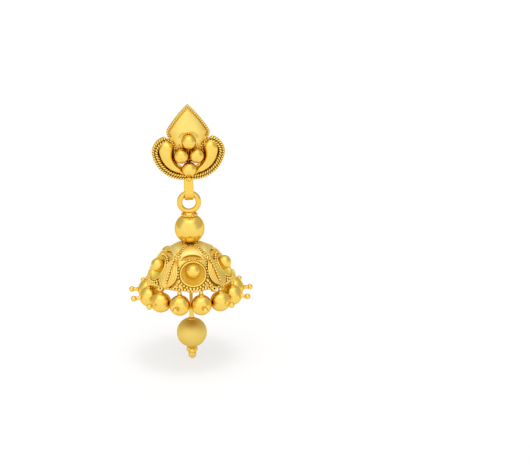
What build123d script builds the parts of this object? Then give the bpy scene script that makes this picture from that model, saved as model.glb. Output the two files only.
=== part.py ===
from build123d import *
import math
import os

# Jhumka earring: a stud with a post, a hollow bell that swings from its bail,
# and a ball drop that swings inside the bell. Millimetres, +Z up, the face of
# the stud towards -Y. The origin is the root of the ear post, on the back of
# the stud.

# Gaps
GAP = 0.04                     # between pieces that touch on the real earring

# Stud: plates
PLATE_THICK = 0.55
RIM_WIDTH = 0.36               # milled wire border, seen from the front
RIM_RISE = 0.16                # border stands this far above the plate
LEAF_TIP_Z = 7.0
LEAF_SHOULDER = (3.13, 3.25)
LEAF_WAIST = (2.95, 2.1)
LEAF_FOOT_Z = -0.9
DISH_DEPTH = 0.14              # hollow of the leaf's face
DISH_RADIUS = 22.0
CRESCENT_TOP = (3.5, 2.25)
CRESCENT_OUTER = (5.33, -0.1)
CRESCENT_OUTER_UP = (4.85, 1.38)
CRESCENT_OUTER_DOWN = (4.15, -2.62)
CRESCENT_FOOT = (0.12, -4.1)
CRESCENT_HEEL = (0.12, -3.42)
CRESCENT_INNER_LOW = (1.42, -2.45)
CRESCENT_INNER_MID = (2.14, -0.7)
CRESCENT_INNER_HIGH = (2.16, 0.15)
CRESCENT_INNER_TOP = (1.98, 0.98)
CRESCENT_INNER_UP = (2.7, 1.7)
CRESCENT_BULGE = 0.85          # how far the half-moon swells in front of its plate

# Stud: balls, post and bail
STUD_BALL_R = 1.09
STUD_BALLS = {                 # x, y, z of each centre
    "top": (0.0, -1.55, 1.7),
    "left": (-1.15, -1.3, -0.42),
    "right": (1.15, -1.3, -0.42),
    "bottom": (0.0, -1.3, -2.47),
}
POST_R = 0.45
POST_LENGTH = 10.8
POST_TIP = 0.25                # rounding of the post's end
STRAP_WIDTH = 1.4
STRAP_THICK = 0.3
STRAP_INNER_R = 0.75
STRAP_TOP_R = 0.42
STRAP_TOP_Z = -3.35
STRAP_TOP_Y = 1.0              # the loop leans back, so that it rises behind the plates

# Bell: ring, collar and upper ball, all on the hanging axis
AXIS_Y = 0.62                  # the hanging axis lies this far behind the origin
RING_R = 1.4
RING_WIRE_R = 0.415
RING_Z = -7.88
SWING_Z = RING_Z + RING_R      # height of the swing axis, in the ring's top wire
SHANK_R = 0.4
COLLAR_TOP_Z = -9.36
COLLAR_TOP_R = 0.72
COLLAR_FOOT_R = 1.12
COLLAR_BEAD_R = 0.2
UPPER_BALL_R = 2.25
UPPER_BALL_Z = -11.96

# Bell: dome. A round cap runs into a straight skirt with a small rolled lip.
DOME_R = 5.5
DOME_CENTRE_Z = -19.7
SKIRT_ANGLE = 57.8             # from the top of the cap to where the skirt starts
BRIM_R = 6.42
DOME_WALL = 0.38
LIP_R = 0.2
SEAT_RING_R = 1.45             # bead ring round the foot of the upper ball
SEAT_BEAD_R = 0.22
SEAT_LIFT = 0.12
SECTORS = 5
SECTOR_STEP = 360 / SECTORS

# Bell: arches, hoods, cups and leaves
CUP_Z = -17.5                  # where the cup's axis meets the skirt
CUP_R = 1.94
CUP_PROUD = 0.2
CUP_DEPTH = 0.92
CUP_WALL = 0.24
CUP_BALL_R = 1.0
CUP_BALL_RISE = 0.2            # centre of the ball in front of the cup's rim
CUP_BALL_SHIFT = 0.4           # and up the slope from the cup's middle
ARCH_TOP_S = 2.75              # centre of the arch's head, up the slope from the cup
ARCH_TOP_R = 1.93
ARCH_FOOT_R = 2.27
ARCH_WIDTH = 0.3
ARCH_RISE = 0.26
ARCH_REACH = 4.5               # how deep the rib's cutting tool goes each way
HOOD_ANGLE = 31.0              # middle of the hood on the cap, from its top
HOOD_SHIFT = 1.02              # its widest place lies this far down the slope from there
HOOD_HALF_WIDTH = 1.75
HOOD_HALF_LENGTH = 2.35
HOOD_HEIGHT = 0.78
HOOD_DROP = 0.2                # its middle plane lies this far inside the cap's face
HOOD_LIP = 0.06                # from its widest place to its open lip
HOOD_WALL = 0.24
LEAF_TOP = (3.95, -15.5)       # radius and height of the petal's tip
LEAF_BOTTOM = (6.62, -19.45)
LEAF_HALF_WIDTH = 1.66
LEAF_FOLD = 2.0                # each half rises this steeply from the midrib
LEAF_THICK = 0.32
LEAF_LIFT = 0.26               # midrib's top above the straight line of the skirt

# Bell: rim balls
RIM_BALLS = 13
RIM_BALL_R = 1.525
RIM_CIRCLE_R = 6.62
RIM_TURN = -5.0                # the ring of balls is turned this far from the front
RIM_BALL_Z = -21.8
POST_BEAD_R = 0.3
POST_WIRE_R = 0.17
SPIKE_CIRCLE_R = 9.08
SPIKE_R = 0.44
SPIKE_NECK_R = 0.24

# Bell: lower eye, hidden inside, and the drop that hooks into it
EYE_R = 0.75
EYE_WIRE_R = 0.25
EYE_Z = -15.8
HOOK_R = 0.6
HOOK_WIRE_R = 0.22
STEM_R = 0.38
DROP_BALL_R = 2.31
DROP_BALL_Z = -28.59
DROP_CORE_R = 0.3
CAP_R = 0.62
CAP_THICK = 0.26
TIP_PLATE_R = 0.68
TIP_PLATE_THICK = 0.2
TIP_GRANULE_R = 0.5
TIP_CIRCLE_R = 0.44
TIP_END_R = 0.62
TIP_BOTTOM_Z = -32.84

FAR = 30.0                     # longer than any piece, for cutting tools


def mirror_x(points, side):
    return [(side * x, z) for x, z in points]


def rod(radius, low, high, x=0.0, y=AXIS_Y):
    return Pos(x, y, (low + high) / 2) * Cylinder(radius, high - low)


def ball(radius, x, y, z):
    return Pos(x, y, z) * Sphere(radius)


def plate(face, front, back):
    """A flat sketch in the XZ plane, given depth from y = front to y = back."""
    return Pos(0, back, 0) * extrude(Plane.XZ * face, back - front)


# ---------------------------------------------------------------- stud

def leaf_outline():
    shoulder_x, shoulder_z = LEAF_SHOULDER
    waist_x, waist_z = LEAF_WAIST
    tip = (0, LEAF_TIP_Z)
    foot = (0, LEAF_FOOT_Z)
    edge_mid = (shoulder_x * 0.60, LEAF_TIP_Z - (LEAF_TIP_Z - shoulder_z) * 0.53)
    turn_mid = (shoulder_x + 0.02, (shoulder_z + waist_z) / 2)
    under_mid = (waist_x * 0.66, 0.55)
    edges = []
    for side in (1, -1):
        tip_s, mid_s, shoulder_s, turn_s, waist_s, under_s, foot_s = mirror_x(
            [tip, edge_mid, LEAF_SHOULDER, turn_mid, LEAF_WAIST, under_mid, foot], side)
        edges += [
            ThreePointArc(tip_s, mid_s, shoulder_s),
            ThreePointArc(shoulder_s, turn_s, waist_s),
            ThreePointArc(waist_s, under_s, foot_s),
        ]
    return make_face(edges)


def crescent_outline(side):
    top, up, outer, down, foot, heel, low, inner_mid, high, inner_top, inner_up = mirror_x(
        [CRESCENT_TOP, CRESCENT_OUTER_UP, CRESCENT_OUTER, CRESCENT_OUTER_DOWN,
         CRESCENT_FOOT, CRESCENT_HEEL, CRESCENT_INNER_LOW, CRESCENT_INNER_MID,
         CRESCENT_INNER_HIGH, CRESCENT_INNER_TOP, CRESCENT_INNER_UP], side)
    return make_face([
        ThreePointArc(top, up, outer),
        ThreePointArc(outer, down, foot),
        Line(foot, heel),
        ThreePointArc(heel, low, inner_mid),
        ThreePointArc(inner_mid, high, inner_top),
        ThreePointArc(inner_top, inner_up, top),
    ])


def bordered_plate(outline):
    """Plate with a raised wire border along its edge."""
    base = plate(outline, -PLATE_THICK, 0)
    border = outline - offset(outline, -RIM_WIDTH)
    return base + plate(border, -PLATE_THICK - RIM_RISE, 0)


def stud_leaf():
    outline = leaf_outline()
    for side in (1, -1):
        outline -= offset(crescent_outline(side), GAP)
    outline = max(outline.faces(), key=lambda face: face.area)
    body = bordered_plate(Sketch([outline]))
    dish_y = -PLATE_THICK + DISH_DEPTH - DISH_RADIUS
    dish = ball(DISH_RADIUS, 0, dish_y, LEAF_SHOULDER[1])
    inner = plate(offset(leaf_outline(), -RIM_WIDTH), -FAR, 0)
    body -= dish & inner
    for x, y, z in STUD_BALLS.values():
        body -= ball(STUD_BALL_R + GAP, x, y, z)
    return body.solids().sort_by(SortBy.VOLUME)[-1]


def crescent(side):
    """Half-moon: a bordered plate with a horn-shaped swelling on its face."""
    body = bordered_plate(crescent_outline(side))
    stations = [                # x, z of the middle, half-width, share of the bulge, turn
        (3.05, 1.85, 0.4, 0.35, 35),
        (3.62, 1.1, 1.05, 0.9, 18),
        (3.7, -0.5, 1.28, 1.0, -8),
        (3.0, -2.1, 1.0, 0.85, -38),
        (1.9, -3.15, 0.65, 0.55, -58),
        (0.9, -3.8, 0.3, 0.25, -68),
    ]
    sections = []
    for x, z, half_width, share, turn in stations:
        angle = math.radians(turn)
        across = Vector(side * math.cos(angle), 0, -math.sin(angle) * -1)
        along = across.cross(Vector(0, 1, 0))
        place = Plane(origin=(side * x, -PLATE_THICK, z), x_dir=across, z_dir=along)
        sections.append(place * Ellipse(half_width, CRESCENT_BULGE * share))
    swelling = loft(sections)
    swelling &= plate(crescent_outline(side), -FAR, -PLATE_THICK / 2)
    body += swelling
    for x, y, z in STUD_BALLS.values():
        body -= ball(STUD_BALL_R + GAP, x, y, z)
    return body.solids().sort_by(SortBy.VOLUME)[-1]


def ear_post():
    post = Pos(0, POST_LENGTH / 2, 0) * Rot(90, 0, 0) * Cylinder(POST_R, POST_LENGTH)
    end = post.edges().filter_by(GeomType.CIRCLE).sort_by(Axis.Y)[-1]
    return fillet(end, POST_TIP)


def bail_strap():
    """Flat strap bent to a long loop in the YZ plane, narrower at its top."""
    def loop(spread):
        low = Pos(AXIS_Y, SWING_Z) * Circle(STRAP_INNER_R + spread)
        high = Pos(STRAP_TOP_Y, STRAP_TOP_Z) * Circle(STRAP_TOP_R + spread)
        return make_hull(low.edges() + high.edges())
    band = loop(STRAP_THICK) - loop(0)
    return extrude(Plane.YZ * band, STRAP_WIDTH / 2, both=True)


# ---------------------------------------------------------------- bell

def eye_pin():
    ring = Pos(0, AXIS_Y, RING_Z) * Rot(90, 0, 0) * Torus(RING_R, RING_WIRE_R)
    eye = Pos(0, AXIS_Y, EYE_Z) * Rot(90, 0, 0) * Torus(EYE_R, EYE_WIRE_R)
    shank = rod(SHANK_R, EYE_Z + EYE_R, RING_Z - RING_R)
    return ring + eye + shank


def top_collar():
    foot_z = UPPER_BALL_Z + math.sqrt(UPPER_BALL_R**2 - COLLAR_FOOT_R**2)
    profile = make_face(Polyline(
        (SHANK_R + GAP, COLLAR_TOP_Z), (COLLAR_TOP_R, COLLAR_TOP_Z),
        (COLLAR_FOOT_R, foot_z + COLLAR_BEAD_R), (COLLAR_FOOT_R, foot_z - 0.1),
        (SHANK_R + GAP, foot_z - 0.1), close=True))
    cone = Pos(0, AXIS_Y, 0) * revolve(Plane.XZ * profile, Axis.Z)
    bead = Pos(0, AXIS_Y, foot_z + COLLAR_BEAD_R) * Torus(COLLAR_FOOT_R, COLLAR_BEAD_R)
    collar = cone + bead
    collar -= ball(UPPER_BALL_R + GAP, 0, AXIS_Y, UPPER_BALL_Z)
    collar -= Pos(0, AXIS_Y, RING_Z) * Rot(90, 0, 0) * Torus(RING_R, RING_WIRE_R + GAP)
    return collar.solids().sort_by(SortBy.VOLUME)[-1]


def upper_ball():
    return ball(UPPER_BALL_R, 0, AXIS_Y, UPPER_BALL_Z) - rod(SHANK_R + GAP, -FAR, 0)


SKIRT_OUT = math.cos(math.radians(SKIRT_ANGLE))    # skirt's direction, outward share
SKIRT_DOWN = math.sin(math.radians(SKIRT_ANGLE))   # and downward share


def skirt_point(z):
    """Radius of the skirt's outer face at a height below the cap."""
    start_r = DOME_R * SKIRT_DOWN
    start_z = DOME_CENTRE_Z + DOME_R * SKIRT_OUT
    return start_r + (start_z - z) * SKIRT_OUT / SKIRT_DOWN


def dome_body(spread, foot_extra=0.0):
    """Solid dome, its outer face moved outwards by spread."""
    radius = DOME_R + spread
    start = (radius * SKIRT_DOWN, DOME_CENTRE_Z + radius * SKIRT_OUT)
    run = (BRIM_R - DOME_R * SKIRT_DOWN) / SKIRT_OUT + foot_extra
    end = (start[0] + run * SKIRT_OUT, start[1] - run * SKIRT_DOWN)
    half = math.radians(SKIRT_ANGLE / 2)
    crown = (0, DOME_CENTRE_Z + radius)
    shoulder = (radius * math.sin(half), DOME_CENTRE_Z + radius * math.cos(half))
    edge = [ThreePointArc(crown, shoulder, start), Polyline(start, end, (0, end[1]), crown)]
    return Pos(0, AXIS_Y, 0) * revolve(Plane.XZ * make_face(edge), Axis.Z)


def brim_z():
    run = (BRIM_R - DOME_R * SKIRT_DOWN) / SKIRT_OUT
    return DOME_CENTRE_Z + DOME_R * SKIRT_OUT - run * SKIRT_DOWN


def seat_z():
    """Height of the seat ring's centre line, a little above the cap's face."""
    return DOME_CENTRE_Z + math.sqrt((DOME_R + SEAT_LIFT)**2 - SEAT_RING_R**2)


def sector(index):
    """Placement of a sector: its middle is turned from the front (-Y) about the axis."""
    return Pos(0, AXIS_Y, 0) * Rot(0, 0, index * SECTOR_STEP)


def slope_plane(radius, z, lift=0.0):
    """Plane on the skirt at the front: X to the right, Y up the slope, Z outwards."""
    out, up = SKIRT_DOWN, SKIRT_OUT
    origin = (0, -(radius + lift * out), z + lift * up)
    return Plane(origin=origin, x_dir=(1, 0, 0), z_dir=(0, -out, up))


def cup_plane():
    return slope_plane(skirt_point(CUP_Z), CUP_Z, CUP_PROUD)


def arch_ridge(extra=0.0):
    """Keyhole-shaped rib on the dome, round one hood and its cup."""
    def head(spread):
        top = Pos(0, ARCH_TOP_S) * Circle(ARCH_TOP_R + spread)
        foot = Circle(ARCH_FOOT_R + spread)
        return make_hull(top.edges() + foot.edges())
    band = head(ARCH_WIDTH / 2 + extra) - head(-ARCH_WIDTH / 2 - extra)
    rib = extrude(cup_plane() * band, ARCH_REACH, both=True)
    return rib & (Pos(0, -AXIS_Y, 0) * dome_body(ARCH_RISE + extra))


def bell_dome():
    lip_z = brim_z() + LIP_R / 2
    outer = dome_body(0)
    ridge = arch_ridge()
    cup_hole = extrude(cup_plane() * Circle(CUP_R + GAP), 2 * CUP_R, both=True)
    for index in range(SECTORS):
        outer += sector(index) * ridge
    outer += Pos(0, AXIS_Y, lip_z) * Torus(BRIM_R, LIP_R)
    outer += Pos(0, AXIS_Y, seat_z()) * Torus(SEAT_RING_R, SEAT_BEAD_R)
    outer -= dome_body(-DOME_WALL, foot_extra=2.0)
    for index in range(SECTORS):
        outer -= sector(index) * cup_hole
    outer -= rod(SHANK_R + GAP, -FAR, 0)
    outer -= ball(UPPER_BALL_R + GAP, 0, AXIS_Y, UPPER_BALL_Z)
    return outer.solids().sort_by(SortBy.VOLUME)[-1]


def hood():
    """Hollow half-dome on the cap, open towards the cup below it."""
    centre = (Pos(0, 0, DOME_CENTRE_Z) * Rot(HOOD_ANGLE, 0, 0)
              * Pos(0, -HOOD_SHIFT, DOME_R - HOOD_DROP))
    outer = scale(Sphere(1), by=(HOOD_HALF_WIDTH, HOOD_HALF_LENGTH, HOOD_HEIGHT))
    inner = scale(Sphere(1), by=(HOOD_HALF_WIDTH - HOOD_WALL, HOOD_HALF_LENGTH - HOOD_WALL,
                                 HOOD_HEIGHT - HOOD_WALL))
    mouth = Pos(0, -HOOD_LIP - FAR / 2, 0) * Box(FAR, FAR, FAR)
    shell = outer - mouth - inner
    shell = centre * shell
    shell -= Pos(0, -AXIS_Y, 0) * dome_body(GAP)
    shell -= arch_ridge(GAP)
    shell -= ball(UPPER_BALL_R + GAP, 0, 0, UPPER_BALL_Z)
    shell -= Pos(0, 0, seat_z()) * Torus(SEAT_RING_R, SEAT_BEAD_R + GAP)
    return shell.solids().sort_by(SortBy.VOLUME)[-1]


def bezel_cup():
    """Shallow dish with a ball soldered into it."""
    curve = (CUP_R**2 + CUP_DEPTH**2) / (2 * CUP_DEPTH)
    centre_up = curve - CUP_DEPTH
    rim_plane = Box(FAR, FAR, FAR, align=(Align.CENTER, Align.CENTER, Align.MIN))
    dish = Pos(0, 0, centre_up) * (Sphere(curve) - Sphere(curve - CUP_WALL))
    dish -= rim_plane
    dish += Pos(0, CUP_BALL_SHIFT, CUP_BALL_RISE) * Sphere(CUP_BALL_R)
    return cup_plane() * dish


def leaf_petal():
    """Pointed leaf, folded along its midrib, laid on the skirt between two arches."""
    rise = LEAF_TOP[1] - LEAF_BOTTOM[1]
    reach = LEAF_BOTTOM[0] - LEAF_TOP[0]
    length = math.hypot(rise, reach)
    slope = math.atan2(rise, reach)
    out = Vector(0, -math.sin(slope), math.cos(slope))
    middle = (0, -(LEAF_TOP[0] + LEAF_BOTTOM[0]) / 2, (LEAF_TOP[1] + LEAF_BOTTOM[1]) / 2)
    place = Plane(origin=middle, x_dir=(1, 0, 0), z_dir=out)
    wide_y = -length * 0.07
    tip = (0, length / 2)
    foot = (0, -length / 2)
    outline = []
    for side in (1, -1):
        wide = (side * LEAF_HALF_WIDTH, wide_y)
        upper = (side * LEAF_HALF_WIDTH * 0.68, length * 0.24)
        lower = (side * LEAF_HALF_WIDTH * 0.76, -length * 0.37)
        outline += [ThreePointArc(tip, upper, wide), ThreePointArc(wide, lower, foot)]
    blank = extrude(place * make_face(outline), 3, both=True)
    rim_rise = 2.2 * math.tan(math.radians(LEAF_FOLD))
    fold = make_face(Polyline(
        (-2.2, rim_rise), (0, 0), (2.2, rim_rise), (2.2, rim_rise - LEAF_THICK),
        (0, -LEAF_THICK), (-2.2, rim_rise - LEAF_THICK), close=True))
    section = Plane(origin=Vector(*middle) + out * LEAF_LIFT, x_dir=(1, 0, 0),
                    z_dir=place.y_dir * -1)
    trough = extrude(section * fold, 4, both=True)
    petal = blank & trough
    petal -= Pos(0, -AXIS_Y, 0) * dome_body(GAP, foot_extra=0.3)
    petal -= Pos(0, 0, brim_z() + LIP_R / 2) * Torus(BRIM_R, LIP_R + GAP)
    for side in (-0.5, 0.5):
        petal -= Rot(0, 0, side * SECTOR_STEP) * arch_ridge(GAP)
    return petal.solids().sort_by(SortBy.VOLUME)[-1]


def rim_ball():
    """Ball with a beaded post to the brim and an outward granule, at the front."""
    post_top = brim_z() - LIP_R / 2 - GAP
    bead_z = RIM_BALL_Z + RIM_BALL_R + POST_BEAD_R
    body = ball(RIM_BALL_R, 0, -RIM_CIRCLE_R, RIM_BALL_Z)
    body += ball(POST_BEAD_R, 0, -RIM_CIRCLE_R, bead_z)
    body += rod(POST_WIRE_R, RIM_BALL_Z, post_top, 0, -RIM_CIRCLE_R)
    neck = SPIKE_CIRCLE_R - RIM_CIRCLE_R
    body += Pos(0, -RIM_CIRCLE_R - neck / 2, RIM_BALL_Z) * Rot(90, 0, 0) * Cylinder(
        SPIKE_NECK_R, neck)
    body += ball(SPIKE_R, 0, -SPIKE_CIRCLE_R, RIM_BALL_Z)
    return body


# ---------------------------------------------------------------- drop

def drop_wire():
    hook_z = EYE_Z - EYE_R
    hook = Pos(0, AXIS_Y, hook_z) * Rot(0, 90, 0) * Torus(HOOK_R, HOOK_WIRE_R)
    cap_z = DROP_BALL_Z + math.sqrt(DROP_BALL_R**2 - CAP_R**2) + GAP
    stem = rod(STEM_R, cap_z, hook_z - HOOK_R)
    core = rod(DROP_CORE_R, DROP_BALL_Z - DROP_BALL_R - TIP_PLATE_THICK, cap_z + CAP_THICK)
    cap = rod(CAP_R, cap_z - 0.12, cap_z + CAP_THICK)
    cap -= ball(DROP_BALL_R + GAP, 0, AXIS_Y, DROP_BALL_Z)
    return hook + stem + core + cap


def drop_ball():
    return ball(DROP_BALL_R, 0, AXIS_Y, DROP_BALL_Z) - rod(DROP_CORE_R + GAP, -40, 0)


def drop_tip():
    plate_top = DROP_BALL_Z - DROP_BALL_R + 0.06
    plate_foot = plate_top - 0.06 - TIP_PLATE_THICK
    body = rod(TIP_PLATE_R, plate_foot, plate_top)
    granule_z = plate_foot - TIP_GRANULE_R + 0.12
    for index in range(3):
        angle = math.radians(-90 + index * 120)
        body += ball(TIP_GRANULE_R, TIP_CIRCLE_R * math.cos(angle),
                     AXIS_Y + TIP_CIRCLE_R * math.sin(angle), granule_z)
    body += ball(TIP_END_R, 0, AXIS_Y, TIP_BOTTOM_Z + TIP_END_R)
    body -= ball(DROP_BALL_R + GAP, 0, AXIS_Y, DROP_BALL_Z)
    body -= rod(DROP_CORE_R + GAP, DROP_BALL_Z - DROP_BALL_R - TIP_PLATE_THICK - GAP, 0)
    return body


def main():
    os.makedirs("parts", exist_ok=True)
    pieces = {
        "ear_post": ear_post(),
        "stud_leaf": stud_leaf(),
        "crescent_left": crescent(-1),
        "crescent_right": crescent(1),
        "bail_strap": bail_strap(),
        "eye_pin": eye_pin(),
        "top_collar": top_collar(),
        "upper_ball": upper_ball(),
        "bell_dome": bell_dome(),
        "drop_wire": drop_wire(),
        "drop_ball": drop_ball(),
        "drop_tip": drop_tip(),
    }
    for name, centre in STUD_BALLS.items():
        pieces[f"stud_ball_{name}"] = ball(STUD_BALL_R, *centre)
    one_hood, one_cup, one_leaf, one_rim_ball = hood(), bezel_cup(), leaf_petal(), rim_ball()
    for index in range(SECTORS):
        pieces[f"hood_{index + 1}"] = sector(index) * one_hood
        pieces[f"bezel_cup_{index + 1}"] = sector(index) * one_cup
        pieces[f"leaf_petal_{index + 1}"] = sector(index + 0.5) * one_leaf
    for index in range(RIM_BALLS):
        turn = (index + 0.5) * 360 / RIM_BALLS + RIM_TURN
        pieces[f"rim_ball_{index + 1:02d}"] = Pos(0, AXIS_Y, 0) * Rot(0, 0, turn) * one_rim_ball
    for name, shape in pieces.items():
        export_step(shape, f"parts/{name}.step")
        print(f"{name:18s} solids {len(shape.solids())} volume {shape.volume:8.3f}")


main()
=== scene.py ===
"""Finish of a gold jhumka earring: stud, hollow bell and inner drop, as a Blender add-on."""
import math

import bpy
import numpy as np
from mathutils import Matrix, Vector


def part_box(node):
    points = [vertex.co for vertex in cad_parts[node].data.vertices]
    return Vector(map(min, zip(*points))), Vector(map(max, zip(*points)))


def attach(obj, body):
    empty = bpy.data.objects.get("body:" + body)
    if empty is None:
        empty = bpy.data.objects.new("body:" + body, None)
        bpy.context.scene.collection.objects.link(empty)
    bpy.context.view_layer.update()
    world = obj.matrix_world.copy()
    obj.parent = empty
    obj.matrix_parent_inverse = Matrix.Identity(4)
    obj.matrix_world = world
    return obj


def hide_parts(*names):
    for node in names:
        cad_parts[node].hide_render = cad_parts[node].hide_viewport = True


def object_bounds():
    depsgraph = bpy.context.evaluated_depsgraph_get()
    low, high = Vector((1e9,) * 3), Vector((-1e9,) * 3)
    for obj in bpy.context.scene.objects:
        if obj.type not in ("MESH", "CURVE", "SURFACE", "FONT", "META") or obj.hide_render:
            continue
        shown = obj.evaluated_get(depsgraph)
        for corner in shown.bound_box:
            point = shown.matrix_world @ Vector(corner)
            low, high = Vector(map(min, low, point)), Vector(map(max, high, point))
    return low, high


bl_info = {
    "name": "Jhumka earring",
    "version": (1, 0, 0),
    "blender": (4, 5, 0),
    "location": "3D View > Sidebar > Jhumka",
    "description": "Builds the polished, beaded and engraved pieces of a gold jhumka earring",
    "category": "Add Mesh",
}

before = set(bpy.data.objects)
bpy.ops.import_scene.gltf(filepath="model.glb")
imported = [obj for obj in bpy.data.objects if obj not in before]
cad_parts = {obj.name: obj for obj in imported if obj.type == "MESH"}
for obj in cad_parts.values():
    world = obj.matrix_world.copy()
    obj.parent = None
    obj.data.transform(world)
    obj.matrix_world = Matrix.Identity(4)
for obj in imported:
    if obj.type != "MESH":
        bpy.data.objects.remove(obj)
CAD_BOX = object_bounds()
MM = 0.001
TAU = 2 * math.pi
SIDE, BACK, UP = Vector((1, 0, 0)), Vector((0, 1, 0)), Vector((0, 0, 1))
FRONT = Vector((0, -1, 0))
MERGE_GAP = 0.5e-6


def box_centre(node):
    low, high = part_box(node)
    return (low + high) / 2


def box_size(node):
    low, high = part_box(node)
    return high - low


AXIS_Y = box_centre("upper_ball").y
UPPER_BALL_R = box_size("upper_ball").x / 2
UPPER_BALL_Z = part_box("upper_ball")[0].z + UPPER_BALL_R
DROP_BALL_R = box_size("drop_ball").x / 2
DROP_BALL_Z = box_centre("drop_ball").z
RIM_BALL_R = box_size("rim_ball_07").x / 2
RING_OUT_R = box_size("eye_pin").x / 2
RING_WIRE_R = 0.415 * MM
RING_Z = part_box("eye_pin")[1].z - RING_OUT_R
SECTORS = sum(name.startswith("hood_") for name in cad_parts)
RIM_BALLS = sum(name.startswith("rim_ball_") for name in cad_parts)


def length(name, description, millimetres):
    return bpy.props.FloatProperty(name=name, description=description, default=millimetres * MM,
                                   unit="LENGTH", precision=6)


def angle(name, description, degrees):
    return bpy.props.FloatProperty(name=name, description=description,
                                   default=math.radians(degrees), subtype="ANGLE")


def tint(name, description, *colour):
    return bpy.props.FloatVectorProperty(name=name, description=description, default=colour,
                                         size=3, subtype="COLOR")


class StudSizes(bpy.types.PropertyGroup):
    plate: length("Plate", "Thickness of the leaf and crescent plates", 0.55)
    leaf_tip: length("Leaf tip", "Height of the leaf's point", 7.0)
    leaf_half: length("Leaf half width", "Half width at the leaf's shoulders", 3.10)
    leaf_shoulder: length("Leaf shoulder", "Height of the leaf's shoulders", 3.25)
    bulge: length("Crescent swell", "Rise of the half-moons above their plate", 0.95)
    crown: length("Leaf crown", "Rise of the leaf's middle over its border", 0.62)
    leaf_rope: length("Leaf rope", "Radius of the leaf's twisted border", 0.18)
    rope: length("Crescent rope", "Radius of each twisted wire round the half-moons", 0.235)
    pitch: length("Twist", "From one strand to the next along the twisted wires", 0.37)
    strap_width: length("Strap width", "Width of the bail's flat strap", 1.3)
    strap_thick: length("Strap thickness", "Thickness of the bail's flat strap", 0.3)


class BellSizes(bpy.types.PropertyGroup):
    cap: length("Cap radius", "Radius of the dome's round cap", 5.5)
    cap_z: length("Cap centre", "Height of the cap's centre", -19.7)
    skirt: angle("Skirt angle", "Angle from the top where the skirt starts", 57.8)
    brim: length("Brim radius", "Radius of the dome's lower edge", 6.42)
    wall: length("Wall", "Thickness of the dome's wall", 0.38)
    cup: length("Cup radius", "Radius of each dish's rim", 1.94)
    cup_z: length("Cup height", "Height where a cup's axis meets the skirt", -17.5)
    cup_proud: length("Cup rise", "How far a cup's rim stands off the skirt", 0.06)
    cup_ball: length("Cup ball radius", "Radius of the ball in each dish", 1.04)
    cup_ball_shift: length("Cup ball shift", "How far up the slope the ball sits", 0.4)
    cup_ball_rise: length("Cup ball rise", "Height of the ball's centre above the rim", 0.34)
    arch_foot: length("Arch foot radius", "Radius of the arch round each cup", 2.27)
    arch_gap: length("Arch gap", "From a hood's edge to the beaded wire beside it", 0.20)
    bead: length("Wire bead", "Radius of the beads on the arches", 0.185)
    granule: length("Granule", "Radius of the granules under each cup", 0.235)
    hood_half: length("Hood half width", "Half width of a hood at its lip", 1.75)
    hood_long: length("Hood length", "Length of a hood's back from its lip to its top", 2.82)
    hood_high: length("Hood height", "Greatest height of a hood over the cap", 0.30)
    hood_lip: angle("Hood lip", "Angle from the top of the cap to the lip's crest", 33.6)
    hood_dent: length("Hood dent", "Depth of the hollow in the cap under each hood", 0.30)
    hood_ends: angle("Lip ends", "How much lower the lip's two ends lie", 8.2)
    rim_turn: angle("Rim turn", "Turn of the ring of balls from the front", -5)
    rim_circle: length("Rim circle", "Radius of the circle of rim balls", 6.62)
    rim_z: length("Rim balls", "Height of the rim balls' centres", -21.8)
    spike_circle: length("Spike circle", "Radius of the circle of outward granules", 9.08)
    spike: length("Spike radius", "Radius of each outward granule", 0.44)


class DropSizes(bpy.types.PropertyGroup):
    eye_z: length("Lower eye", "Height of the hidden eye inside the bell", -15.8)
    eye: length("Eye radius", "Radius of the hidden eye's centre line", 0.75)
    eye_wire: length("Eye wire", "Radius of the hidden eye's wire", 0.25)
    hook: length("Hook radius", "Radius of the hook's centre line", 0.6)
    hook_wire: length("Hook wire", "Radius of the hook's wire", 0.22)
    rod: length("Stem", "Radius of the drop's stem above its sleeve", 0.25)
    tip_bottom: length("Tip", "Height of the drop's lowest point", -32.84)


class GoldColours(bpy.types.PropertyGroup):
    bright: tint("Gold", "Clean gold", 0.94, 0.66, 0.14)
    # The next two colours are painted shade: the darkest goes in crevices found by ambient
    # occlusion, the second beside other pieces, on the leaf's sides and on the hood linings.
    recess_shade: tint("Deep gold", "Gold in the recesses", 0.26, 0.11, 0.01)
    shade_amber: tint("Amber gold", "Gold beside another piece", 0.78, 0.44, 0.05)
    pale: tint("Pale gold", "The lightest, softly brushed gold", 0.96, 0.725, 0.19)
    deeper: tint("Wire gold", "The drawn wire and strap", 0.91, 0.61, 0.11)
    # Lighter gold for the hoods, which face up into the overhead light: a painted highlight.
    light: tint("Light gold", "The brightest, brushed gold", 0.98, 0.80, 0.28)
    # Lighter gold inside the cups, so that the recessed dishes look brighter: painted light.
    dish: tint("Dish gold", "Gold inside the cups", 0.99, 0.79, 0.15)
    satin: tint("Satin gold", "The matt, coloured gold", 0.95, 0.68, 0.16)


def stud_sizes():
    return bpy.context.scene.jhumka_stud


def bell_sizes():
    return bpy.context.scene.jhumka_bell


def drop_sizes():
    return bpy.context.scene.jhumka_drop


# ---------------------------------------------------------------- mesh helpers

def deselect_all():
    if bpy.context.object and bpy.context.object.mode != "OBJECT":
        bpy.ops.object.mode_set(mode="OBJECT")
    bpy.ops.object.select_all(action="DESELECT")


def select_only(*objects):
    deselect_all()
    for obj in objects:
        obj.select_set(True)
    bpy.context.view_layer.objects.active = objects[0]


def added(name):
    obj = bpy.context.object
    obj.name = name
    return obj


def edit_all(obj):
    select_only(obj)
    bpy.ops.object.mode_set(mode="EDIT")
    bpy.ops.mesh.select_all(action="SELECT")


def leave_edit():
    bpy.ops.object.mode_set(mode="OBJECT")


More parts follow.
